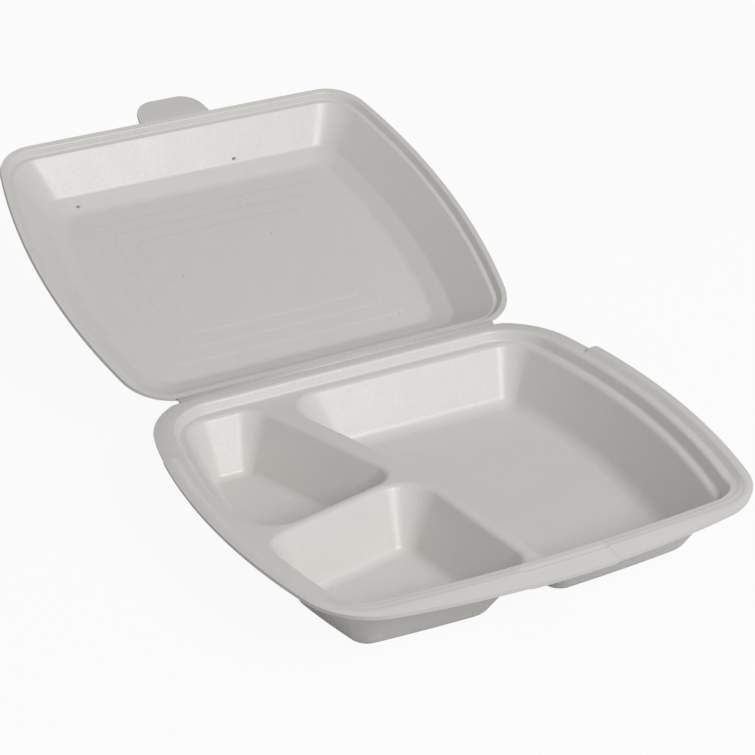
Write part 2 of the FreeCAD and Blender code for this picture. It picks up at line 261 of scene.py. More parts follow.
def rounded(corners: Sequence[Corner]) -> list[Level]:
    """Rounds the inner corners of an open profile and leaves its ends as they are."""
    points = [Vector(corner[:2]) for corner in corners]
    profile: list[Level] = [corners[0][:2]]
    for i in range(1, len(corners) - 1):
        radius = corners[i][2]
        before = (points[i - 1] - points[i]).normalized()
        after = (points[i + 1] - points[i]).normalized()
        half = before.angle(after) / 2.0
        back = radius / math.tan(half)
        centre = points[i] + (before + after).normalized() * (radius / math.sin(half))
        shares = (*even_shares(ROUND_STEPS), 1.0)
        arc = sweep(centre, points[i] + before * back, points[i] + after * back, shares)
        profile += [(p.x, p.y) for p in arc]
    profile.append(corners[-1][:2])
    return profile


def at_reach(stations: Stations, j: int, reach: float, z: float) -> Vector:
    """Places a point between the two plan curves beside a reach.

    Args:
        stations: The plan curves.
        j: Which point of each curve.
        reach: Reach beyond the outline.
        z: Height of the point.

    Returns:
        The point, which lies beyond the last curve for a longer reach.
    """
    reaches = sorted(stations)
    high = next((other for other in reaches[1:] if reach <= other), reaches[-1])
    low = reaches[reaches.index(high) - 1]
    plan = stations[low][j].lerp(stations[high][j], (reach - low) / (high - low))
    return Vector((plan.x, plan.y, z))


def clamped(value: float) -> float:
    """Returns the value, kept from 0 to 1."""
    return min(max(value, 0.0), 1.0)


def smooth_step(value: float, low: float, high: float) -> float:
    """Returns 0 below low, 1 above high and a smooth rise between them."""
    share = clamped((value - low) / (high - low))
    return share * share * (3.0 - 2.0 * share)


class Skin:
    """A sheet that is drawn outwards ring by ring from a loop of edges."""

    def __init__(self) -> None:
        """Starts an empty sheet."""
        self.bm = bmesh.new()
        self.weight = self.bm.verts.layers.deform.verify()

    def start(self, points: Sequence[Vector]) -> Ring:
        """Adds a first closed ring of vertices and edges."""
        ring = [self.bm.verts.new(p) for p in points]
        for a, b in zip(ring, ring[1:] + ring[:1]):
            self.bm.edges.new((a, b))
        return ring

    def ring_edges(self, ring: Ring, closed: bool = True) -> list[bmesh.types.BMEdge]:
        """Lists the edges along a ring or a row of vertices."""
        following = ring[1:] + (ring[:1] if closed else [])
        return [self.bm.edges.get((a, b)) for a, b in zip(ring, following)]

    def draw_to(self, ring: Ring, points: Sequence[Vector], closed: bool = True) -> Ring:
        """Extrudes a ring and moves its copy to new places.

        Args:
            ring: Vertices in order.
            points: The new place of each.
            closed: Whether the last vertex joins the first.

        Returns:
            The new vertices in the same order.
        """
        places = {v.co.to_tuple(9): i for i, v in enumerate(ring)}
        edges = self.ring_edges(ring, closed)
        drawn: Ring = [ring[0]] * len(ring)
        for item in bmesh.ops.extrude_edge_only(self.bm, edges=edges)["geom"]:
            if isinstance(item, bmesh.types.BMVert):
                drawn[places[item.co.to_tuple(9)]] = item
        for vert, place in zip(drawn, points):
            vert.co = place
        return drawn

    def draw_rings(self, rows: Sequence[tuple[list[Vector], float]]) -> tuple[Ring, Ring]:
        """Draws closed rings one after another.

        Args:
            rows: The places of each ring, and its share of the full thickness.

        Returns:
            The first ring and the last.
        """
        first: Ring = []
        ring: Ring = []
        for points, weight in rows:
            ring = self.draw_to(ring, points) if ring else self.start(points)
            for vert in ring:
                vert[self.weight][0] = weight
            first = first or ring
        return first, ring

    def fill(self, rings: Sequence[Ring]) -> None:
        """Fills the flat area between or inside rings."""
        edges = [edge for ring in rings for edge in self.ring_edges(ring)]
        bmesh.ops.triangle_fill(self.bm, use_beauty=True, use_dissolve=False, edges=edges)

    def finish(self, name: str, place: Matrix) -> bpy.types.Object:
        """Turns the sheet into an object whose upper side faces out.

        Args:
            name: Piece name.
            place: From the sheet's own frame in millimetres to the scene.

        Returns:
            The object, at the origin.
        """
        bmesh.ops.remove_doubles(self.bm, verts=self.bm.verts[:], dist=MERGE_DISTANCE)
        bmesh.ops.recalc_face_normals(self.bm, faces=self.bm.faces[:])
        widest = max(self.bm.faces, key=lambda f: f.calc_area())
        if widest.normal.z < 0.0:
            bmesh.ops.reverse_faces(self.bm, faces=self.bm.faces[:])
        self.bm.transform(place)
        return as_object(self.bm, name)


def slice_across(
    bm: bmesh.types.BMesh, y: float, drop_front: bool = False, drop_back: bool = False
) -> None:
    """Cuts a mesh with an upright plane across its depth.

    Args:
        bm: The mesh.
        y: Where the plane stands.
        drop_front: Whether the part in front of it goes.
        drop_back: Whether the part behind it goes.
    """
    bmesh.ops.bisect_plane(
        bm,
        geom=[*bm.verts, *bm.edges, *bm.faces],
        dist=0.0001,
        plane_co=(0.0, y, 0.0),
        plane_no=(0.0, 1.0, 0.0),
        clear_inner=drop_front,
        clear_outer=drop_back,
    )


def as_object(bm: bmesh.types.BMesh, name: str) -> bpy.types.Object:
    """Links a bmesh as a smooth shaded object at the origin and frees it."""
    mesh = bpy.data.meshes.new(name)
    bm.to_mesh(mesh)
    bm.free()
    mesh.shade_smooth()
    piece = bpy.data.objects.new(name, mesh)
    bpy.context.scene.collection.objects.link(piece)
    return piece


def turned(at: Sequence[float], tilt: float) -> Matrix:
    """Returns the matrix from a frame in millimetres, tilted about its crease, to the scene."""
    return Matrix.Scale(MM, 4) @ Matrix.Translation(at) @ Matrix.Rotation(tilt, 4, "X")


def thicken(piece: bpy.types.Object, sheet: float, thin_share: float, edge_round: float) -> None:
    """Gives a sheet its thickness downwards and rounds its cut edge.

    Args:
        piece: The sheet.
        sheet: Full thickness in millimetres.
        thin_share: Share of it where the vertex group weighs nothing.
        edge_round: Width of the cut edge's rounding in millimetres.
    """
    group = piece.vertex_groups.new(name="full_thickness")
    solid = piece.modifiers.new("sheet", "SOLIDIFY")
    solid.thickness = sheet * MM
    solid.offset = -1.0
    solid.use_even_offset = False
    solid.use_quality_normals = True
    solid.vertex_group = group.name
    solid.thickness_vertex_group = thin_share
    edge = piece.modifiers.new("cut_edge", "BEVEL")
    edge.width = edge_round * MM
    edge.segments = 2
    edge.limit_method = "ANGLE"
    edge.angle_limit = math.radians(58.0)
    shade = piece.modifiers.new("shade", "WEIGHTED_NORMAL")
    shade.keep_sharp = True
    shade.weight = 60


class Nodes:
    """Adds shader nodes to one material or world."""

    def __init__(self, owner: bpy.types.Material | bpy.types.World) -> None:
        """Starts an empty node tree."""
        self.owner = owner
        owner.use_nodes = True
        self.tree = owner.node_tree
        self.tree.nodes.clear()

    def add(
        self,
        kind: str,
        settings: dict[str, object] | None = None,
        sockets: dict[str | int, object] | None = None,
    ) -> bpy.types.Node:
        """Adds a node with its settings and the values or links of its sockets.

        Args:
            kind: Node type without its ShaderNode prefix.
            settings: Attributes that are set first.
            sockets: Values or output sockets, by the name or number of the input.

        Returns:
            The node.
        """
        node = self.tree.nodes.new("ShaderNode" + kind)
        for key, value in (settings or {}).items():
            setattr(node, key, value)
        for key, value in (sockets or {}).items():
            if isinstance(value, Value):
                value = value.socket
            if isinstance(value, bpy.types.NodeSocket):
                self.tree.links.new(value, node.inputs[key])
            else:
                node.inputs[key].default_value = value
        return node

    def noise(
        self, place: bpy.types.NodeSocket, size: float, detail: float, roughness: float = 0.5
    ) -> Value:
        """Adds noise whose features are about a size in millimetres."""
        sockets = {
            "Vector": place,
            "Scale": 1.0 / (size * MM),
            "Detail": detail,
            "Roughness": roughness,
        }
        return Value(self, self.add("TexNoise", sockets=sockets).outputs["Fac"])

    def tone(self, share: Value, low: Colour, high: Colour) -> bpy.types.NodeSocket:
        """Mixes two colours by a value."""
        sockets = {0: share, 6: (*low, 1.0), 7: (*high, 1.0)}
        return self.add("Mix", {"data_type": "RGBA"}, sockets).outputs[2]

    def finish(self, kind: str, surface: bpy.types.Node) -> bpy.types.Material | bpy.types.World:
        """Links a shader to an output of the given kind and returns the tree's owner."""
        self.add(kind, sockets={"Surface": surface.outputs[0]})
        return self.owner


class Value:
    """A number socket that can be written in Python expressions."""

    def __init__(self, nodes: Nodes, socket: bpy.types.NodeSocket) -> None:
        """Wraps a socket of a material."""
        self.nodes = nodes
        self.socket = socket

    def maths(self, operation: str, first: Value | float, second: Value | float) -> Value:
        """Adds a Math node for an operation on two values."""
        node = self.nodes.add("Math", {"operation": operation}, {0: first, 1: second})
        return Value(self.nodes, node.outputs[0])

    def __add__(self, other: Value | float) -> Value:
        """Adds."""
        return self.maths("ADD", self, other)

    __radd__ = __add__

    def __mul__(self, other: Value | float) -> Value:
        """Multiplies."""
        return self.maths("MULTIPLY", self, other)

    __rmul__ = __mul__

    def __sub__(self, other: Value | float) -> Value:
        """Subtracts."""
        return self.maths("SUBTRACT", self, other)

    def __rsub__(self, other: float) -> Value:
        """Subtracts from a number."""
        return self.maths("SUBTRACT", other, self)


@dataclass(frozen=True)
class FoamFinish:
    """Expanded foam skin: satin, warm white, with fine pressed cells. Sizes in millimetres."""

    name: str = "foam"
    color: Colour = (0.74, 0.73, 0.705)
    darker: Colour = (0.67, 0.658, 0.63)
    roughness: float = 0.33
    cell_size: float = 0.9
    cell_smoothness: float = 0.7
    speck_size: float = 0.45
    patch_size: float = 14.0
    swell_size: float = 55.0
    bump_depth: float = 0.06
    sheen: float = 0.08

    def material(self) -> bpy.types.Material:
        """Builds the material on Object coordinates and returns it."""
        nodes = Nodes(bpy.data.materials.new(self.name))
        place = nodes.add("TexCoord").outputs["Object"]
        cells = nodes.add(
            "TexVoronoi",
            {"feature": "SMOOTH_F1"},
            {
                "Vector": place,
                "Scale": 1.0 / (self.cell_size * MM),
                "Smoothness": self.cell_smoothness,
            },
        )
        cell = Value(nodes, cells.outputs["Distance"])
        speck = nodes.noise(place, self.speck_size, 3.0, 0.6)
        patch = nodes.noise(place, self.patch_size, 4.0, 0.55)
        swell = nodes.noise(place, self.swell_size, 2.0)
        shade = (1.0 - cell) * 0.35 + speck * 0.45 + patch * 0.5 - 0.3
        height = cell * 0.6 + speck * 0.55 + patch * 1.6 + swell * 6.0
        rough = speck * 0.14 + patch * 0.12 + (self.roughness - 0.13)
        bump = nodes.add(
            "Bump",
            sockets={"Height": height, "Distance": self.bump_depth * MM, "Strength": 1.0},
        )
        surface = nodes.add(
            "BsdfPrincipled",
            sockets={
                "Base Color": nodes.tone(shade, self.darker, self.color),
                "Roughness": rough,
                "Normal": bump.outputs["Normal"],
                "Sheen Weight": self.sheen,
            },
        )
        return nodes.finish("OutputMaterial", surface)


@dataclass(frozen=True)
class VentHoleShade:
    """Marks for the small vent holes: their dark colour is painted shade for the inside of each
    hole, slightly mottled.
    """

    name: str = "vent_hole_painted_shade"
    # Painted shade: this dark colour stands for the shade inside a vent hole.
    color: Colour = (0.25, 0.24, 0.23)
    lighter: Colour = (0.5, 0.48, 0.46)
    roughness: float = 0.8
    grain_size: float = 0.4

    def material(self) -> bpy.types.Material:
        """Builds the material with a slightly mottled colour and returns it."""
        nodes = Nodes(bpy.data.materials.new(self.name))
        place = nodes.add("TexCoord").outputs["Object"]
        tone = nodes.tone(nodes.noise(place, self.grain_size, 2.0), self.color, self.lighter)
        sockets = {"Base Color": tone, "Roughness": self.roughness}
        surface = nodes.add("BsdfPrincipled", sockets=sockets)
        return nodes.finish("OutputMaterial", surface)


@dataclass(frozen=True)
class Rim:
    """Plan of the tray's rim, in millimetres from the tray's middle.

    A reach is the distance outwards from the edge of the ledge.
    """

    hinge_y: float = 103.5
    side_x: float = 96.9
    front_y: float = -84.9
    back_y: float = 99.5
    front_bow: float = 5.2
    taper: float = 1.3
    front_radius: float = 18.0
    back_radius: float = 32.0
    land_reach: float = 6.5
    land_front_shift: float = 4.0
    land_width: float = 2.1
    ledge_reach: float = 2.0
    lip_reach: float = 5.0
    flange_reach: float = 9.4
    flange_bow: float = 9.2
    flange_radius: float = 33.0
    shoulder_reach: float = 8.0
    notch_y: float = 57.0
    curves: Quad = (0.0, 2.2, 5.0, 6.6)
    inner_curves: tuple[Quad, ...] = (
        (-6.3, -2.45, 16.2, 17.5),
        (-4.5, -1.9, 16.0, 21.8),
        (-2.2, -0.6, 16.5, 27.5),
    )
    """Reach, reach at the front, front radius and back radius of the curves inside the ledge."""

    def outline(self, front_bow: float) -> Outline:
        """Builds the ledge's outline, sampled finely round the notches and the tab's recess."""
        front_half = self.side_x + self.taper / 2.0
        back_half = self.side_x - self.taper / 2.0
        corners = [
            Vector((-front_half, self.front_y)),
            Vector((front_half, self.front_y)),
            Vector((back_half, self.back_y)),
            Vector((-back_half, self.back_y)),
        ]
        front = finer_shares(SIDE_STEPS, RECESS_ENDS)
        right = finer_shares(SIDE_STEPS, NOTCH_SHARES)
        left = (0.0, *sorted(1.0 - share for share in right if share > 0.0))
        sides = bowed_sides(corners, (front_bow, SIDE_BOW, STRAIGHT_BOW, SIDE_BOW))
        return Outline(sides, (front, right, even_shares(BACK_STEPS), left))

    def stations(self) -> Stations:
        """Samples the plan curves that the rim's profile runs through."""
        plain = self.outline(self.front_bow)
        stations = {}
        for reach, front_reach, front, back in self.inner_curves:
            grows = (front_reach, reach, reach, reach)
            stations[reach] = plain.loop([front, front, back, back], grows)
        for reach in self.curves:
            front = self.front_radius + reach
            back = self.back_radius + reach
            stations[reach] = plain.loop([front, front, back, back], [reach] * 4)
        reach = self.flange_reach
        radii = [self.flange_radius] * 2 + [self.back_radius + reach] * 2
        stations[reach] = self.outline(self.flange_bow).loop(radii, [reach] * 4)
        return stations


@dataclass(frozen=True)
class Ribs:
    """Plan of the ribs between the compartments, in millimetres from the tray's middle."""

    main_back_x: float = -44.0
    main_front_x: float = -1.5
    main_bow: float = -8.0
    cross_left_y: float = -14.3
    cross_right: Pair = (-16.0, 5.9)
    cross_half: float = 2.3
    back_near_x: float = -22.5
    back_far_x: float = -54.0
    front_near_x: float = -5.0
    front_bow: float = -1.0
    front_inset: float = 1.1


@dataclass(frozen=True)
class Pocket:
    """One compartment: the sides of its sharp upper edge, and how its walls go down."""

    sides: tuple[Arc, ...]
    radii: Quad
    floor_round: float
    steepness: Quad = (1.0, 1.0, 1.0, 1.0)
    """Share of the tray's draft on each side."""

    def loop(self, inset: float, radii: Sequence[float]) -> list[Vector]:
        """Samples the outline of the walls at an inset."""
        outline = Outline(self.sides, (even_shares(POCKET_STEPS),) * 4)
        return outline.loop(radii, [-inset * part for part in self.steepness])


@dataclass
class FoamTray:
    """Tray with three compartments, rim, lip with notches and the lowered part for the tab."""

    rim: Rim = field(default_factory=Rim)
    ribs: Ribs = field(default_factory=Ribs)
    land_z: float = 28.7
    ledge_z: float = 33.7
    lip_z: float = 35.7
    flange_z: float = 35.2
    shoulder_z: float = 32.7
    floor_z: float = 3.1
    front_share: float = 0.8
    front_drop: float = 1.6
    drop_span: Pair = (4.5, 10.6)
    recess_half: float = 21.5
    recess_run: float = 1.2
    recess_depth: float = 0.6
    recess_span: Pair = (1.0, 4.6)
    fill_share: float = 0.33
    fill_span: Pair = (68.0, 85.0)
    notch_run: float = 0.7
    nick_length: float = 3.0
    nick_depth: float = 1.5
    draft: float = math.radians(30.0)
    end_steepness: float = 0.8
    rim_round: float = 3.3
    rim_steps: int = 6
    floor_corner: float = 3.6
    floor_steps: int = 8
    pod_sheet: float = 3.1
    pod_sheet_below: float = 6.0
    rim_sheet: float = 2.2
    edge_round: float = 0.35

    def build(self, finish: bpy.types.Material) -> bpy.types.Object:
        """Makes the tray's mesh and dresses it.

        Args:
            finish: The foam material.

        Returns:
            The tray, riding on its body.
        """
        skin = Skin()
        land = self.draw_rim(skin)
        rims = [self.draw_pocket(skin, pocket) for pocket in self.pockets()]
        skin.fill([land, *rims])
        slice_across(skin.bm, self.rim.hinge_y - CREASE_GAP / 2.0, drop_back=True)
        place = Matrix.Scale(MM, 4) @ Matrix.Translation((0.0, -SETBACK, 0.0))
        piece = skin.finish("tray_sheet", place)
        thicken(piece, self.pod_sheet, self.rim_sheet / self.pod_sheet, self.edge_round)
        piece.data.materials.append(finish)
        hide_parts("tray")
        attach(piece, Body.TRAY.value)
        return piece

    def draw_rim(self, skin: Skin) -> Ring:
        """Draws the rim outwards from the land's inner edge.

        Args:
            skin: The sheet that is drawn on.

        Returns:
            The land's inner ring.
        """
        stations = self.rim.stations()
        rows = []
        for lip, shoulder in zip(self.lip_profile(), self.shoulder_profile()):
            points = []
            for j, base in enumerate(stations[0.0]):
                reach, z = self.rim_level(base, lip, shoulder)
                points.append(at_reach(stations, j, reach, z))
            rows.append((points, 0.0))
        return skin.draw_rings(rows)[0]

    def rim_level(self, base: Vector, lip: Level, shoulder: Level) -> Level:
        """Blends the two profiles of the rim at one place round it.

        Args:
            base: Plan position on the ledge.
            lip: Point of the lip's profile.
            shoulder: The point of the shoulder's profile that takes its place behind the notch.

        Returns:
            Reach and height of the point.
        """
        notch_y = self.rim.notch_y
        behind = smooth_step(base.y, notch_y - self.notch_run, notch_y + self.notch_run)
        reach = lip[0] + (shoulder[0] - lip[0]) * behind
        outwards = smooth_step(lip[0], self.rim.lip_reach, self.rim.flange_reach)
        reach -= self.nick(base.y) * outwards
        z = lip[1] + (shoulder[1] - lip[1]) * behind
        z += self.front_fill(base, lip[0], z) - self.front_dip(base, lip[0])
        return reach, z

    def nick(self, y: float) -> float:
        """Returns how far the lip's rounded end falls back in plan beside the shoulder."""
        start = self.rim.notch_y - self.nick_length
        if y < start or y > self.rim.notch_y:
            return 0.0
        share = (y - start) / self.nick_length
        return self.nick_depth * (1.0 - math.sqrt(max(1.0 - share * share, 0.0)))

    def front_fill(self, base: Vector, reach: float, z: float) -> float:
        """Finds how much higher the ledge is along the front, where it runs into the lip.

        Args:
            base: Plan position on the ledge.
            reach: Reach beyond the ledge.
            z: Height of the plain profile there.

        Returns:
            Rise in millimetres.
        """
        along = smooth_step(-base.y, *self.fill_span)
        inside = 1.0 - smooth_step(reach, self.rim.ledge_reach, self.rim.lip_reach)
        return (z - self.land_z) * self.fill_share * (along * inside)

    def front_dip(self, base: Vector, reach: float) -> float:
        """Finds how far the front of the flange dips, with the lowered part for the tab.

        Args:
            base: Plan position on the ledge.
            reach: Reach beyond the ledge.

        Returns:
            Dip in millimetres.
        """
        if base.y > self.rim.front_y * self.front_share:
            return 0.0
        crown = max(1.0 - (base.x / self.rim.side_x) ** 2, 0.0)
        dip = self.front_drop * crown * smooth_step(reach, *self.drop_span)
        ends = (self.recess_half - self.recess_run, self.recess_half + self.recess_run)
        lowered = 1.0 - smooth_step(abs(base.x), *ends)
        return dip + self.recess_depth * lowered * smooth_step(reach, *self.recess_span)

    def lip_profile(self) -> list[Level]:
        """Returns the rounded profile of the rim with its lip and flange."""
        return rounded(
            [
                (-6.3, self.land_z, 0.0),
                (-4.5, self.land_z, 1.3),
                (-2.2, self.ledge_z, 1.9),
                (self.rim.ledge_reach, self.ledge_z, 1.8),
                (self.rim.lip_reach, self.lip_z, 1.8),
                (6.8, self.lip_z, 3.0),
                (self.rim.flange_reach, self.flange_z, 0.0),
            ]
        )

    def shoulder_profile(self) -> list[Level]:
        """Returns the rounded profile of the rim with its shoulder, with as many points."""
        fall = self.ledge_z - self.shoulder_z
        return rounded(
            [
                (-6.3, self.land_z, 0.0),
                (-4.5, self.land_z, 1.3),
                (-2.2, self.ledge_z, 1.9),
                (1.6, self.ledge_z, 12.0),
                (4.0, self.ledge_z - fall * 0.25, 28.0),
                (5.6, self.ledge_z - fall * 0.5, 28.0),
                (self.rim.shoulder_reach, self.shoulder_z, 0.0),
            ]
        )

    def pockets(self) -> list[Pocket]:
        """Lists the main compartment and the two small ones, at the back and the front."""
        rim = self.rim
        ribs = self.ribs
        reach = -rim.land_reach - rim.land_width
        base = rim.outline(rim.front_bow).sides
        front = base[0].grown(reach + rim.land_front_shift)
        right, back, left = (side.grown(reach) for side in base[1:])
        back_y = rim.back_y + reach
        cross_left = Vector((-rim.side_x - SIDE_BOW, ribs.cross_left_y))
        cross_right = Vector(ribs.cross_right)
        cross_back = Arc.bowed(cross_left, cross_right, STRAIGHT_BOW).grown(-ribs.cross_half)
        cross_front = Arc.bowed(cross_right, cross_left, STRAIGHT_BOW).grown(-ribs.cross_half)
        main_side = Arc.bowed(
            Vector((ribs.main_back_x, back_y)),
            Vector((ribs.main_front_x, rim.front_y)),
            ribs.main_bow,
        )
        back_side = Arc.bowed(
            Vector((ribs.back_near_x, cross_right.y)),
            Vector((ribs.back_far_x, back_y)),
            STRAIGHT_BOW,
        )
        front_side = Arc.bowed(
            Vector((ribs.front_near_x, rim.front_y)), cross_right, ribs.front_bow
        ).grown(-ribs.front_inset)
        steep = (1.0, 1.0, 1.0, self.end_steepness)
        back_sides = (cross_back, back_side, back, left)
        front_sides = (front, front_side, cross_front, left)
        return [
            Pocket((front, right, back, main_side), (12.0, 15.0, 15.0, 16.0), 9.0),
            Pocket(back_sides, (18.0, 11.0, 14.0, 15.6), 5.0, steep),
            Pocket(front_sides, (16.0, 14.0, 17.0, 13.0), 6.0, steep),
        ]

    def draw_pocket(self, skin: Skin, pocket: Pocket) -> Ring:
        """Draws a compartment down from its rim and closes its floor.

        Args:
            skin: The sheet that is drawn on.
            pocket: The compartment.

        Returns:
            The rim's ring, level with the land.
        """
        levels = self.pocket_levels(pocket.floor_round)
        run = levels[-1][0]
        rows = []
        for inset, z in levels:
            share = clamped(inset / run)
            shift = min(inset, 0.0)
            radii = [r + (self.floor_corner - r) * share - shift for r in pocket.radii]
            points = [Vector((p.x, p.y, z)) for p in pocket.loop(inset, radii)]
            rows.append((points, clamped((self.land_z - z) / self.pod_sheet_below)))
        first, floor = skin.draw_rings(rows)
        skin.fill([floor])
        return first

    def pocket_levels(self, floor_round: float) -> list[Level]:
        """Lists the levels of a wall from the rim down, with its rounded rim and floor edge."""
        run = (self.land_z - self.floor_z) * math.tan(self.draft)
        turn = math.pi / 2.0 - self.draft
        rim_back = self.rim_round * math.tan(turn / 2.0)
        floor_back = floor_round * math.tan(turn / 2.0)
        levels: list[Level] = []
        for step in range(self.rim_steps + 1):
            angle = turn * step / self.rim_steps
            inset = -rim_back + self.rim_round * math.sin(angle)
            z = self.land_z - self.rim_round + self.rim_round * math.cos(angle)
            levels.append((inset, z))
        for step in range(self.floor_steps + 1):
            angle = turn * (1.0 - step / self.floor_steps)
            inset = run + floor_back - floor_round * math.sin(angle)
            levels.append((inset, self.floor_z + floor_round - floor_round * math.cos(angle)))
        return levels


@dataclass
class FoamLid:
    """Lid with edge band, ledge, sloping walls, stepped panel and tab.

    Its own frame lies on its crease: u across, v away from the hinge, w up.
    """

    tilt: float = math.radians(17.0)
    side_half: float = 99.6
    depth: float = 190.5
    setback: float = 0.45
    hinge_radius: float = 25.5
    far_radius: float = 21.7
    panel_w: float = -25.4
    panel_inset: float = 36.0
    foot_inset: float = 31.4
    wall_inset: float = 22.2
    wall_w: float = -20.3
    edge_w: float = -0.3
    sheet: float = 1.6
    edge_round: float = 0.3
    tab_half: float = 20.0
    tab_length: float = 16.1
    tab_taper: float = 3.5
    tab_corner: float = 9.0
    tab_fall: float = 0.5
    tab_root_depth: float = 3.0
    tab_root_margin: float = 0.6
    tab_near_steps: Shares = (0.05, 0.12, 0.25, 0.4, 0.52, 0.62)
    tab_far_steps: Shares = (0.71, 0.79, 0.86, 0.92, 0.965, 0.99, 1.0)
    reliefs: tuple[Pair, ...] = ((66.0, 54.0), (57.0, 45.0), (48.0, 36.0))
    """Half width and half depth of each stepped outline."""
    relief_step: float = 0.22
    relief_v: float = 95.0
    relief_bow: float = 0.6
    relief_corner: float = 6.0
    relief_slope: tuple[Pair, ...] = ((0.0, 0.0), (0.5, 0.15), (1.0, 0.5), (1.5, 0.85), (2.0, 1.0))
    """Inset and share of the rise at each ring of a step."""
    foot_vents: tuple[Pair, ...] = ((-64.8, 163.2), (27.0, 169.9))
    panel_vents: tuple[Pair, ...] = ((24.0, 116.0), (22.0, 140.5), (-34.0, 100.0), (60.0, 41.0))
    vent_radius: float = 1.1
    small_vent_radius: float = 0.35
    vent_flatness: float = 0.25
    vent_wall_slope: float = 1.2

    def outline(self) -> Outline:
        """Builds the outline of the lid's edge, with even samples across the tab."""
        corners = rectangle(self.side_half, -self.setback, self.depth)
        sides = bowed_sides(corners, (STRAIGHT_BOW, SIDE_BOW, STRAIGHT_BOW, SIDE_BOW))
        even = even_shares(SIDE_STEPS)
        return Outline(sides, (even, even, even_shares(TAB_SIDE_STEPS), even))

    def stations(self) -> Stations:
        """Samples the plan curves that the lid's profile runs through."""
        radii = {
            -self.panel_inset: (10.0, 10.0),
            -self.foot_inset: (11.0, 11.0),
            -self.wall_inset: (12.0, 12.0),
            -6.4: (17.0, 18.2),
            -4.2: (21.0, 18.6),
            -2.0: (self.hinge_radius - 1.8, self.far_radius - 1.6),
            0.0: (self.hinge_radius, self.far_radius),
        }
        outline = self.outline()
        stations = {}
        for reach, (near, far) in radii.items():
            stations[reach] = outline.loop([near, near, far, far], [reach] * 4)
        return stations

    def profile(self) -> list[Level]:
        """Returns the rounded profile from the panel to the edge."""
        return rounded(
            [
                (-self.panel_inset, self.panel_w, 0.0),
                (-self.foot_inset, self.panel_w, 8.0),
                (-self.wall_inset, self.wall_w, 6.0),
                (-6.4, -4.4, 1.1),
                (-4.2, -4.3, 0.9),
                (-2.5, -1.0, 1.2),
                (0.0, self.edge_w, 0.0),
            ]
        )

    def build(self, finish: bpy.types.Material) -> bpy.types.Object:
        """Makes the lid's mesh and dresses it.

        Args:
            finish: The foam material.

        Returns:
            The lid, riding on its body.
        """
        skin = Skin()
        stations = self.stations()
        count = len(stations[0.0])
        rows = []
        for reach, w in self.profile():
            rows.append(([at_reach(stations, j, reach, w) for j in range(count)], 1.0))
        panel, edge = skin.draw_rings(rows)
        self.draw_tab(skin, edge)
        self.draw_panel(skin, panel)
        slice_across(skin.bm, CREASE_GAP / 2.0, drop_front=True)
        piece = skin.finish("lid_sheet", turned(LID_CREASE, self.tilt))
        thicken(piece, self.sheet, 1.0, self.edge_round)
        piece.data.materials.append(finish)
        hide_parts("lid")
        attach(piece, Body.LID.value)
        return piece

    def draw_tab(self, skin: Skin, edge: Ring) -> None:
        """Draws the closing tab out of the middle of the far edge.

        Args:
            skin: The sheet that is drawn on.
            edge: The ring of the lid's edge.
        """
        widest_root = self.tab_half + self.tab_root_margin
        row = [v for v in edge if v.co.y > self.depth - self.tab_root_depth]
        row = sorted((v for v in row if abs(v.co.x) <= widest_root), key=lambda v: v.co.x)
        widest = max(abs(v.co.x) for v in row)
        shares = [v.co.x / widest for v in row]
        root = row[0].co.y
        for step in (*self.tab_near_steps, *self.tab_far_steps):
            out = self.tab_length * step
            half = self.tab_half - self.tab_taper * step
            into = out - (self.tab_length - self.tab_corner)
            if into > 0.0:
                half -= self.tab_corner - math.sqrt(max(self.tab_corner**2 - into**2, 0.0))
            w = self.edge_w - self.tab_fall * smooth_step(step, 0.0, 1.0)
            points = [Vector((half * share, root + out, w)) for share in shares]
            row = skin.draw_to(row, points, closed=False)

    def draw_panel(self, skin: Skin, ring: Ring) -> None:
        """Draws the panel inwards over its three shallow steps and closes it.

        Args:
            skin: The sheet that is drawn on.
            ring: Ring at the panel's outer edge.
        """
        w = self.panel_w
        side_shares = self.outline().side_shares
        for half_u, half_v in self.reliefs:
            corners = rectangle(half_u, self.relief_v - half_v, self.relief_v + half_v)
            shape = Outline(bowed_sides(corners, [self.relief_bow] * 4), side_shares)
            for inset, share in self.relief_slope:
                loop = shape.loop([self.relief_corner - inset] * 4, [-inset] * 4)
                level = w + self.relief_step * share
                ring = skin.draw_to(ring, [Vector((p.x, p.y, level)) for p in loop])
            w += self.relief_step
        skin.fill([ring])

    def vent_level(self, u: float, v: float) -> float:
        """Returns the height of the panel or of the far wall's foot under a vent mark."""
        w = self.panel_w
        edge = self.relief_slope[-1][0]
        for half_u, half_v in self.reliefs:
            if abs(u) < half_u - edge and abs(v - self.relief_v) < half_v - edge:
                w += self.relief_step
        inset = self.depth - v
        if inset < self.foot_inset:
            run = self.foot_inset - self.wall_inset
            w += min(self.foot_inset - inset, run) * (self.wall_w - self.panel_w) / run
            w += max(self.wall_inset - inset, 0.0) * self.vent_wall_slope
        return w

    def build_vents(self, finish: bpy.types.Material) -> bpy.types.Object:
        """Makes the small vent marks on the panel and its foot, dark with painted shade for their
        holes.

        Args:
            finish: The vent material, whose dark colour is painted shade.

        Returns:
            The marks, riding on the lid.
        """
        bm = bmesh.new()
        sized = [(self.vent_radius, at) for at in self.foot_vents]
        sized += [(self.small_vent_radius, at) for at in self.panel_vents]
        for radius, (u, v) in sized:
            made = bmesh.ops.create_icosphere(bm, subdivisions=2, radius=radius)["verts"]
            bmesh.ops.scale(bm, vec=(1.0, 1.0, self.vent_flatness), verts=made)
            bmesh.ops.translate(bm, vec=(u, v, self.vent_level(u, v)), verts=made)
        bm.transform(turned(LID_CREASE, self.tilt))
        piece = as_object(bm, "lid_vents")
        piece.data.materials.append(finish)
        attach(piece, Body.LID.value)
        return piece


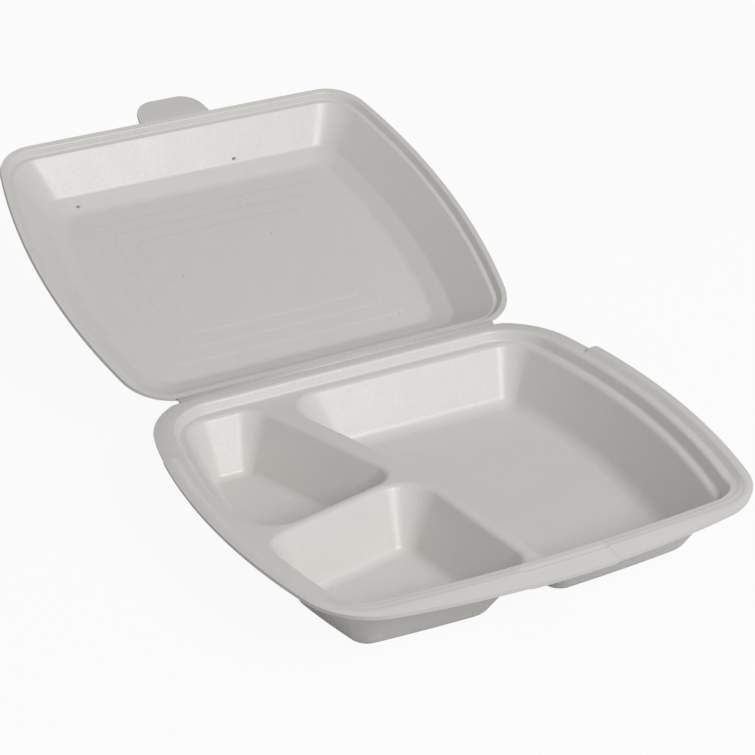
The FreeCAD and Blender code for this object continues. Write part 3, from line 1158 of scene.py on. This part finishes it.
@dataclass
class LivingHinge:
    """Pressed strip between the two creases, and the thin webs that lie in them."""

    length: float = 171.0
    width: float = 4.0
    margin: float = 0.9
    sheet: float = 1.3
    tilt: float = math.radians(8.5)
    web_width: float = 1.9
    web_sheet: float = 0.4
    web_level: float = -0.85
    bend_half: float = 0.25
    round_share: float = 0.4
    round_limit: float = 0.5
    cuts: Shares = (-0.5, -0.25, 0.0, 0.25, 0.5)
    # Where the bars are divided, from their middle.
    """Where the bars are divided so that they can bend, from their middle."""

    def build(self, finish: bpy.types.Material) -> list[bpy.types.Object]:
        """Makes the strip and both webs.

        Args:
            finish: The foam material.

        Returns:
            The pieces.
        """
        place = turned(TRAY_CREASE, self.tilt)
        at = (self.width / 2.0, -self.sheet / 2.0)
        strip = self.bar("hinge_band", self.width - self.margin, self.sheet, at, place)
        strip.data.materials.append(finish)
        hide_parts("hinge_strip")
        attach(strip, Body.STRIP.value)
        pieces = [strip]
        for name, crease, bodies, tilt in (
            ("tray_web", TRAY_CREASE, (Body.TRAY, Body.STRIP), self.tilt / 2.0),
            ("lid_web", LID_CREASE, (Body.STRIP, Body.LID), self.tilt * 1.5),
        ):
            place = turned(crease, tilt)
            web = self.bar(name, self.web_width, self.web_sheet, (0.0, self.web_level), place)
            web.data.materials.append(finish)
            low = Vector(crease) * MM - Vector((0.0, self.bend_half * MM, 0.0))
            high = Vector(crease) * MM + Vector((0.0, self.bend_half * MM, 0.0))
            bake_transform(web)
            pieces.append(web)
        return pieces

    def bar(
        self, name: str, width: float, thickness: float, at: Pair, place: Matrix
    ) -> bpy.types.Object:
        """Makes a long flat bar with rounded edges along the hinge.

        Args:
            name: Piece name.
            width: Width across the hinge.
            thickness: Thickness.
            at: Middle of its section: distance from the crease, and level.
            place: From the hinge's frame to the scene.

        Returns:
            The bar.
        """
        bm = bmesh.new()
        bmesh.ops.create_cube(bm, size=1.0)
        bmesh.ops.scale(bm, vec=(self.length, width, thickness), verts=bm.verts[:])
        bmesh.ops.translate(bm, vec=(0.0, *at), verts=bm.verts[:])
        bmesh.ops.bevel(
            bm,
            geom=[e for e in bm.edges if abs(e.verts[0].co.x - e.verts[1].co.x) > width],
            offset=min(thickness * self.round_share, self.round_limit),
            segments=3,
            profile=0.5,
            affect="EDGES",
            material=-1,
        )
        for cut in self.cuts:
            slice_across(bm, at[0] + cut)
        bm.transform(place)
        return as_object(bm, name)


@dataclass
class Studio:
    """Camera at the photograph's angle, pale floor and soft lights."""

    azimuth: float = math.radians(-29.49)
    elevation: float = math.radians(29.06)
    distance: float = 1190.18
    roll: float = math.radians(1.05)
    target: tuple[float, float, float] = (0.97, 70.52 - SETBACK, 40.7)
    focal_share: float = 2535.88 / 755.0
    sensor: float = 36.0
    floor_radius: float = 8.0
    floor_grey: float = 0.62
    floor_glow_share: float = 0.94
    world_light: float = 0.37
    lamp_target: tuple[float, float, float] = (0.0, 0.0, 0.03)

    def build(self) -> None:
        """Adds the camera, the floor, the world and the lamps."""
        self.add_camera()
        self.add_floor()
        self.add_world()
        self.add_lamp("key", (0.44, -1.26, 1.0), 0.6, 14.5)
        self.add_lamp("left_fill", (-1.3, -0.7, 0.8), 1.2, 1.6)

    def add_camera(self) -> None:
        """Adds the camera where the photograph was taken from."""
        level = math.cos(self.elevation)
        away = (math.sin(self.azimuth) * level, -math.cos(self.azimuth) * level)
        back = Vector((*away, math.sin(self.elevation)))
        right = Vector((0.0, 0.0, 1.0)).cross(back).normalized()
        tilted = right * math.cos(self.roll) + back.cross(right) * math.sin(self.roll)
        data = bpy.data.cameras.new("camera")
        data.sensor_width = self.sensor
        data.lens = self.sensor * self.focal_share
        data.clip_start = 0.01
        data.clip_end = 30.0
        camera = bpy.data.objects.new("camera", data)
        bpy.context.scene.collection.objects.link(camera)
        turn = Matrix((tilted, back.cross(tilted), back)).transposed().to_4x4()
        place = Vector(self.target) * MM + back * self.distance * MM
        camera.matrix_world = Matrix.Translation(place) @ turn
        bpy.context.scene.camera = camera

    def add_floor(self) -> None:
        """Adds the pale floor, which keeps a soft shadow under the container."""
        bm = bmesh.new()
        bmesh.ops.create_circle(bm, cap_ends=True, segments=64, radius=self.floor_radius)
        floor = as_object(bm, "floor")
        nodes = Nodes(bpy.data.materials.new("pale_floor"))
        grey = (self.floor_grey, self.floor_grey, self.floor_grey, 1.0)
        matte = nodes.add("BsdfDiffuse", sockets={"Color": grey})
        glow = nodes.add("Emission", sockets={"Color": (1.0, 1.0, 1.0, 1.0), "Strength": 1.0})
        floor.data.materials.append(
            nodes.finish("OutputMaterial", self.by_ray(nodes, matte, glow, self.floor_glow_share))
        )
        floor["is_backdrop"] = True

    def add_world(self) -> None:
        """Lights the surroundings plainly and shows them white behind the object."""
        nodes = Nodes(bpy.data.worlds.new("studio"))
        white = (1.0, 1.0, 1.0, 1.0)
        light = nodes.add("Background", sockets={"Color": white, "Strength": self.world_light})
        seen = nodes.add("Background", sockets={"Color": white, "Strength": 1.0})
        mixed = self.by_ray(nodes, light, seen, 1.0)
        bpy.context.scene.world = nodes.finish("OutputWorld", mixed)

    def by_ray(
        self, nodes: Nodes, light: bpy.types.Node, seen: bpy.types.Node, share: float
    ) -> bpy.types.Node:
        """Mixes the shader that lights the scene with the camera's own, by the second's share."""
        ray = Value(nodes, nodes.add("LightPath").outputs["Is Camera Ray"])
        sockets = {0: ray * share, 1: light.outputs[0], 2: seen.outputs[0]}
        return nodes.add("MixShader", sockets=sockets)

    def add_lamp(
        self, name: str, place: tuple[float, float, float], size: float, power: float
    ) -> None:
        """Adds a square area lamp that faces the container.

        Args:
            name: Lamp name.
            place: Position in metres.
            size: Side of the square in metres.
            power: Power in watts.
        """
        data = bpy.data.lights.new(name, "AREA")
        data.size = size
        data.energy = power
        lamp = bpy.data.objects.new(name, data)
        bpy.context.scene.collection.objects.link(lamp)
        aim = Vector(self.lamp_target) - Vector(place)
        lamp.location = place
        lamp.rotation_euler = aim.to_track_quat("-Z", "Y").to_euler()


def main() -> None:
    """Builds the container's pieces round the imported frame, then the studio."""
    logging.basicConfig(level=logging.INFO, format="%(message)s")
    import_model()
    cad_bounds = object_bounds()
    bpy.context.scene.view_settings.view_transform = "Standard"
    foam = FoamFinish().material()
    tray = FoamTray().build(foam)
    log.info("tray: %s", tray.name)
    for piece in LivingHinge().build(foam):
        log.info("hinge: %s", piece.name)
    lid = FoamLid()
    log.info("lid: %s", lid.build(foam).name)
    log.info("vents: %s", lid.build_vents(VentHoleShade().material()).name)
    Studio().build()
    for bounds in (cad_bounds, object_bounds()):
        rows = [[round(float(c), 5) for c in corner] for corner in bounds]


if __name__ == "__main__":
    main()
